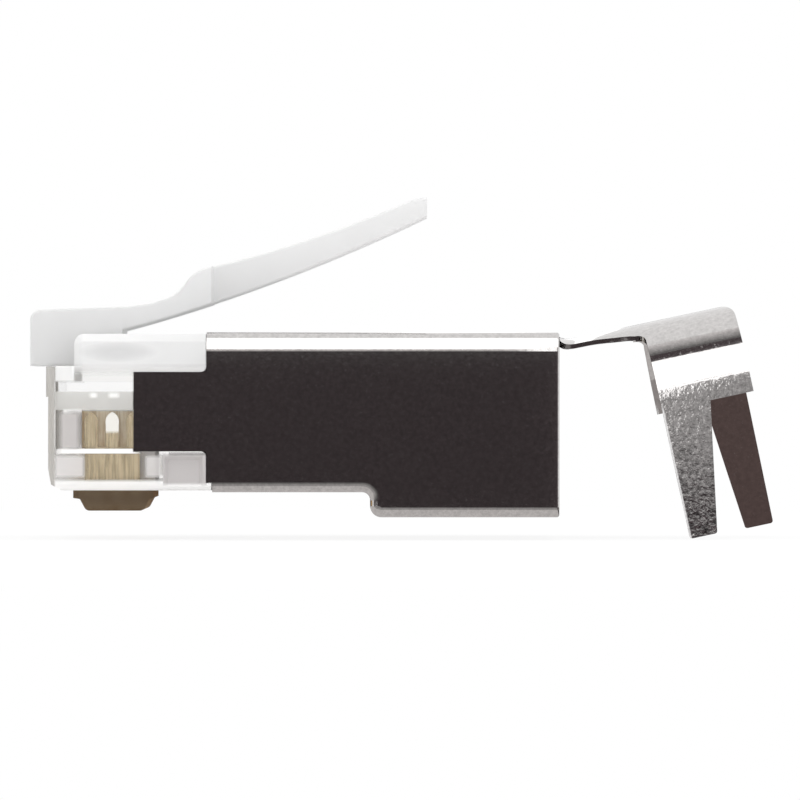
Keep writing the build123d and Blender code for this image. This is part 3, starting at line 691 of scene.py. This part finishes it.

# %% [markdown]
# ## Nickel plate
# A drawn surface mirrors its room in broken flecks, dark ones low on the prongs and paler ones
# higher up.  The bump alone leaves them too soft, so part of each fleck is a painted reflection in
# the colour, darkest low on the prongs.  The prong's front edge carries a painted highlight, a
# paler and less metallic strip.

# %% Nickel plate
NICKEL, EDGE_HIGHLIGHT_PAINT = (0.68, 0.66, 0.65, 1), (0.85, 0.84, 0.84, 1)
# painted reflection: the flecks' darkest levels, from low on the prongs going up
FLECK_HEIGHTS, PAINTED_FLECK_LEVELS = (-4.5 * MM, 0.0), (0.10, 0.55)         # darkest fleck, going up
CLOUD_LEVEL = 0.80            # the darkest that the plain sheet's clouds get
PLATE_ROUGH = (0.07, 0.17)    # of the plain plate and of its specks
# painted highlight: a paler, less metallic strip along the prong's front edge, with its width,
# fade and top
EDGE_HIGHLIGHT_WIDTH, EDGE_HIGHLIGHT_FADE, EDGE_HIGHLIGHT_TOP = 0.10 * MM, 0.04 * MM, (0.4 * MM, 0.1 * MM)
EDGE_HIGHLIGHT_METAL = 0.35


def nickel_plate():
    """Metal with two grains of bump, stronger on the drawn parts and flecked there with painted
    reflection.
    """
    plate = bpy.data.materials.new("nickel_plate")
    tree, output = empty_tree(plate)
    x, _, z = coordinates(tree)
    drawn = drawn_parts(tree, x, z)
    # painted reflection in flecks, darkest low on the prongs
    darkest = ramp(tree, z, *FLECK_HEIGHTS, *PAINTED_FLECK_LEVELS)
    fleck = ramp(tree, mottle(tree, 0.16 * MM, 4.0, 0.75), 0.36, 0.62, darkest, 1.0)
    cloud = ramp(tree, mottle(tree, 0.20 * MM, 4.0, 0.7), 0.35, 0.65, CLOUD_LEVEL, 1.0)
    colour = mix(tree, 1.0, NICKEL, mix(tree, drawn, cloud, fleck), "MULTIPLY")
    specks = ramp(tree, mottle(tree, 0.11 * MM, 1.0, 0.4), 0.66, 0.76)
    along = maths(tree, "ADD", x, maths(tree, "MULTIPLY", z, PRONG_LEAN))
    # painted highlight along the prong's front edge
    cut = both(tree, window(tree, along, PRONG_FRONT, PRONG_FRONT + EDGE_HIGHLIGHT_WIDTH, EDGE_HIGHLIGHT_FADE),
               ramp(tree, z, *EDGE_HIGHLIGHT_TOP))
    metal = add(tree, "BsdfPrincipled", Base_Color=mix(tree, cut, colour, EDGE_HIGHLIGHT_PAINT),
                Roughness=ramp(tree, specks, 0, 1, *PLATE_ROUGH),
                Metallic=ramp(tree, cut, 0, 1, 1.0, EDGE_HIGHLIGHT_METAL), Normal=plated_bump(tree, drawn))
    tree.links.new(metal.outputs[0], output.inputs[0])
    return plate


print(f"painted edge highlight is {EDGE_HIGHLIGHT_WIDTH / MM:.2f} mm wide")

# %% [markdown]
# ## Gold plate
# Only the working edge of a blade, which stands below the moulding, is polished and carries the
# thick gold.  The body inside the comb has a thin flash over bronze, so it is duller and darker,
# with thicker gold on its thin edges.  The tip of the middle tine is painted near white, a painted
# highlight.  One finish that changes with height serves all eight blades.

# %% Gold plate
WORN_GOLD = ((0.84, 0.66, 0.44, 1), (0.70, 0.51, 0.31, 1))
FOOT_GOLD = (0.45, 0.28, 0.15, 1)           # mixed in at the very bottom of a blade
FLASH = ((0.40, 0.32, 0.20, 1), (0.60, 0.50, 0.34, 1))
EDGE_GOLD = (0.95, 0.72, 0.36, 1)
# painted highlight on the middle tine's tip
PAINTED_TIP_HIGHLIGHT = (1.0, 0.98, 0.93, 1)
FOOT_FADE, INSIDE_FADE = (-3.9 * MM, -4.1 * MM), (-3.25 * MM, -3.15 * MM)    # heights
TIP_ENDS, TIP_FADE = (2.3 * MM, 2.95 * MM), (-0.85 * MM, -0.70 * MM)
GOLD_ROUGH = 0.22


def gold_plate():
    """Gold below the underside, bronze in the comb, and a painted highlight on the middle tine's
    tip.
    """
    gold = bpy.data.materials.new("gold_plate")
    tree, output = empty_tree(gold)
    x, _, z = coordinates(tree)
    worn = mix(tree, ramp(tree, mottle(tree, 0.5 * MM), 0.35, 0.65), *WORN_GOLD)
    worn = mix(tree, ramp(tree, z, *FOOT_FADE, 0, 0.45), worn, FOOT_GOLD)
    flash = mix(tree, ramp(tree, drawn_lines(tree, 0.10 * MM), 0.35, 0.65), *FLASH)
    colour = mix(tree, ramp(tree, z, *INSIDE_FADE), worn, flash)
    colour = mix(tree, thin_edges(tree), colour, EDGE_GOLD)
    # painted highlight: the middle tine's tip is painted near white
    tip = both(tree, window(tree, x, *TIP_ENDS), ramp(tree, z, *TIP_FADE))
    colour = mix(tree, tip, colour, PAINTED_TIP_HIGHLIGHT)
    metal = add(tree, "BsdfPrincipled", Base_Color=colour, Metallic=1.0, Roughness=GOLD_ROUGH)
    tree.links.new(metal.outputs[0], output.inputs[0])
    return gold


print("gold, bronze flash and a lit tip for each blade")

# %% [markdown]
# ## Dressing the solids
# The real plug is assembled from three materials: the moulding's resin, the sheet and the blades.
# Each solid keeps its shape and takes one finish for the whole of it, because the masks inside a
# finish already know where each of its regions lies.

# %% Dress the solids
finishes = {"housing": clear_moulding(), "latch": milky_moulding(), "shield": nickel_plate()}
blade_gold = gold_plate()
for name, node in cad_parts.items():
    for slot in node.material_slots:
        slot.material = finishes.get(name, blade_gold)
print("finishes:", ", ".join(m.name for m in (*finishes.values(), blade_gold)))

# %% [markdown]
# ## Latch profile
# A latch is one springy strip: a block on the nose, a ramp that climbs to the catch, a narrow
# finger lever and a flatter rest for the nail.  Its side view is drawn first.  The numbers are
# the sizes of the solids, in millimetres from the middle of the nose.

# %% Latch sizes
ROOT_FRONT_X = -0.90
ROOT_UNDER_Z = 1.99
ROOT_TOP_Z = 4.37
ROOT_CORNER = 0.48
NECK_X, NECK_Z = 2.97, 3.55
HINGE_X, HINGE_TOP_Z = 3.25, 4.52
CATCH_X, CATCH_Z = 6.77, 6.22
RAMP = ((HINGE_X, HINGE_TOP_Z), (4.40, 4.72), (5.35, 5.16), (5.90, 5.82), (6.30, 6.07),
        (CATCH_X, CATCH_Z))
NAIL_X, NAIL_Z = 15.28, 9.09
TIP_X, TIP_TOP_Z, TIP_LOW_Z = 15.83, 9.16, 8.28
BACK_SAG = 0.22
UNDER_SAG = 0.32
WIDE, NARROW = 3.00, 1.625     # half widths before and behind the catch
print(f"latch is {TIP_X - ROOT_FRONT_X:.2f} mm long")

# %% [markdown]
# ## Curves of the latch
# The ramp runs smoothly through its points, as the mould cutter would, and the lever hangs in
# two shallow arcs, one for its back and one for its underside.  A few points and a rule for each
# stretch are easier to change than a long list of points.

# %% Curves of the latch
def smooth_through(points, x):
    """Height of a smooth curve through the points: cubic pieces whose slope at each point is the
    mean slope of the two pieces beside it."""
    px, pz = np.array(points, float).T
    slope = np.gradient(pz, px)
    i = np.clip(np.searchsorted(px, x) - 1, 0, len(px) - 2)
    span = px[i + 1] - px[i]
    t = (x - px[i]) / span
    return ((2 * t**3 - 3 * t**2 + 1) * pz[i] + (t**3 - 2 * t**2 + t) * span * slope[i]
            + (3 * t**2 - 2 * t**3) * pz[i + 1] + (t**3 - t**2) * span * slope[i + 1])


def hanging(start, end, sag, x):
    """Height of a shallow arc: the straight line between two points less sag times 4 t (1 - t)."""
    t = (x - start[0]) / (end[0] - start[0])
    return start[1] + (end[1] - start[1]) * t - sag * 4 * t * (1 - t)


def latch_top(x):
    """Height of the top: a front corner of radius R, z = R - sqrt(R^2 - d^2) below the root at a
    distance d into it, then the straight root, the ramp, the hanging lever and the nail rest."""
    x = np.asarray(x, float)
    back = np.clip(ROOT_FRONT_X + ROOT_CORNER - x, 0, ROOT_CORNER)
    corner = ROOT_CORNER - np.sqrt(ROOT_CORNER**2 - back**2)
    root = ROOT_TOP_Z + (HINGE_TOP_Z - ROOT_TOP_Z) * (x - ROOT_FRONT_X) / (HINGE_X - ROOT_FRONT_X)
    lever = hanging((CATCH_X, CATCH_Z), (NAIL_X, NAIL_Z), BACK_SAG, x)
    nail = NAIL_Z + (TIP_TOP_Z - NAIL_Z) * (x - NAIL_X) / (TIP_X - NAIL_X)
    climb = smooth_through(RAMP, np.clip(x, HINGE_X, CATCH_X))
    return np.select([x < HINGE_X, x < CATCH_X, x < NAIL_X], [root - corner, climb, lever], nail)


def latch_under(x):
    """Height of the underside behind the neck: one shallow arc down from the tip."""
    return hanging((HINGE_X, NECK_Z), (TIP_X, TIP_LOW_Z), UNDER_SAG, np.asarray(x, float))


print("thickness at the neck and the tip, mm:",
      np.round(latch_top([HINGE_X, TIP_X]) - latch_under([HINGE_X, TIP_X]), 2))

# %% [markdown]
# ## Stations along the latch
# The skin is carried along matching points of the top and the underside.  They are close
# together where the neck turns and where the width steps in at the catch, and the width eases
# in at both ends so that the corners are rounded.  The skin is set a little inside the solid.

# %% Stations along the latch
END_ROUND = 0.12              # radius of the rounding at both ends
STEP_ROUND = 0.07             # how far the width at the catch is eased
INSET = 0.020                 # keeps the skin just inside the solid, so no two faces coincide
FRONT_RUN = (0.18, 0.50)      # stations behind the rounding, from the front
ROOT_RUN, NECK_RUN = (-0.3, 2.6), (2.7, 3.1)
CLIMB_RUN, LEVER_RUN = (3.2, 6.6), (7.0, 15.6)
LOW_CLIMB_START = 3.09        # where the underside's match to the climb begins
STEP_PLACES = (-0.09, -0.04, -0.01, 0.01, 0.04, 0.1)         # from the catch
NECK_UNDER = ((2.78, ROOT_UNDER_Z), (NECK_X - 0.03, ROOT_UNDER_Z + 0.02), (NECK_X, 2.5),
              (NECK_X, 3.1), (NECK_X + 0.04, NECK_Z - 0.04))


def half_widths(x):
    """Wide before the catch and narrow behind it, less R - sqrt(R^2 - d^2) at a distance d into
    the rounding of radius R at each end, and eased at the two stations beside the catch."""
    from_end = np.minimum(x - x[0], x[-1] - x)
    short = np.clip(END_ROUND - from_end, 0, END_ROUND)
    width = np.where(x < CATCH_X, WIDE, NARROW)
    width = width - (END_ROUND - np.sqrt(END_ROUND**2 - short**2))
    at_step = np.abs(x - CATCH_X) < 0.02
    return width + np.where(at_step, STEP_ROUND * np.sign(x - CATCH_X), 0)


def latch_stations():
    """Matching points of the top and the underside, with the half width at each."""
    ease = END_ROUND * (1 - np.cos(np.linspace(0, np.pi / 2, 5)))
    front = ROOT_FRONT_X + np.concatenate([ease, np.linspace(*FRONT_RUN, 6)])
    root = np.linspace(*ROOT_RUN, 13)
    climb = np.linspace(*CLIMB_RUN, 30)
    step = CATCH_X + np.array(STEP_PLACES)
    lever = np.linspace(*LEVER_RUN, 40)
    tip = TIP_X - ease[::-1]
    top_x = np.concatenate([front, root, np.linspace(*NECK_RUN, 5), climb, step, lever, tip])
    neck_x, neck_z = np.array(NECK_UNDER).T
    low_climb = np.interp(climb, CLIMB_RUN, (LOW_CLIMB_START, CLIMB_RUN[1]))
    behind_neck = np.concatenate([low_climb, step, lever, tip])
    under_x = np.concatenate([front, root, neck_x, behind_neck])
    flat = np.full(len(front) + len(root), ROOT_UNDER_Z)
    under_z = np.concatenate([flat, neck_z, latch_under(behind_neck)])
    tops = np.stack([top_x, latch_top(top_x) - INSET], -1)
    unders = np.stack([under_x, under_z + INSET], -1)
    for ends in (tops, unders):
        ends[:, 0] = np.clip(ends[:, 0], ROOT_FRONT_X + INSET, TIP_X - INSET)
    return tops, unders, half_widths(top_x) - INSET


print(len(latch_stations()[2]), "stations along the latch")

# %% [markdown]
# ## Latch skin
# At each station the section is a rectangle with rounded corners.  Sweeping it from the nose to
# the tip gives one closed skin.  The two solids meet in a joint at the flexing line, which the
# real latch doesn't have, and the skin hides it.

# %% Latch skin
SKIN_CORNER = 0.12
SHARP_ANGLE = math.radians(35)              # edges sharper than this stay crisp


def latch_skin(tops, unders, width, radius=SKIN_CORNER, per_corner=5):
    """Rings of points.  With the angle a round the section, u = +-(w - r) + r cos a across and
    v = (r or h - r) + r sin a from the underside to the top, where w is the half width, h the
    height and r the corner radius of the station."""
    quarter = np.linspace(0, np.pi / 2, per_corner)
    a = np.concatenate([quarter + k * np.pi / 2 for k in range(4)])
    side = np.repeat([1, -1, -1, 1], per_corner)
    upper = np.repeat([1, 1, 0, 0], per_corner)
    tall = np.linalg.norm(tops - unders, axis=1)[:, None]
    u = side * (width[:, None] - radius) + radius * np.cos(a)
    v = np.where(upper, tall - radius, radius) + radius * np.sin(a)
    share = (v / tall)[..., None]
    xz = unders[:, None] * (1 - share) + tops[:, None] * share
    return np.stack([xz[..., 0], u, xz[..., 1]], -1) * MM


def closed_skin(name, rings):
    """A mesh over rings of points, with a flat cap at each end."""
    count, around, _ = rings.shape
    i, j = np.meshgrid(np.arange(count - 1), np.arange(around), indexing="ij")
    k = (j + 1) % around
    low, high = i * around, (i + 1) * around
    quads = np.stack([low + j, low + k, high + k, high + j], -1)
    faces = quads.reshape(-1, 4).tolist()
    faces.append(list(range(around))[::-1])
    faces.append(list(range((count - 1) * around, count * around)))
    mesh = bpy.data.meshes.new(name)
    mesh.from_pydata(rings.reshape(-1, 3).tolist(), [], faces)
    piece = bpy.data.objects.new(name, mesh)
    bpy.context.scene.collection.objects.link(piece)
    return piece


latch = closed_skin("latch_lever", latch_skin(*latch_stations()))
latch.data.materials.append(finishes["latch"])
latch.data.shade_smooth()
latch.data.set_sharp_from_angle(angle=SHARP_ANGLE)
print("latch skin:", len(latch.data.polygons), "faces")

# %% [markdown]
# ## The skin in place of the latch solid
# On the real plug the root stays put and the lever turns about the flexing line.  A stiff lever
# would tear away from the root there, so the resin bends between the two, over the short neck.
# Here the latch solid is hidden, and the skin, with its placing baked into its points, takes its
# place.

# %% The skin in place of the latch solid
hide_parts("latch")
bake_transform(latch)

# %% [markdown]
# ## Sizes and end
# A skin that grew past its solid would touch things that the solid clears.  The dressed plug must
# stay in the box of the solids, so the two boxes are set side by side and their difference
# printed.

# %% Sizes and end
dressed_box = [list(corner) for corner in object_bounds()]
growth = [(b - a) / MM for a, b in zip(cad_box[0] + cad_box[1], dressed_box[0] + dressed_box[1])]
print("dressed box less solid box, mm:", np.round(growth, 3))
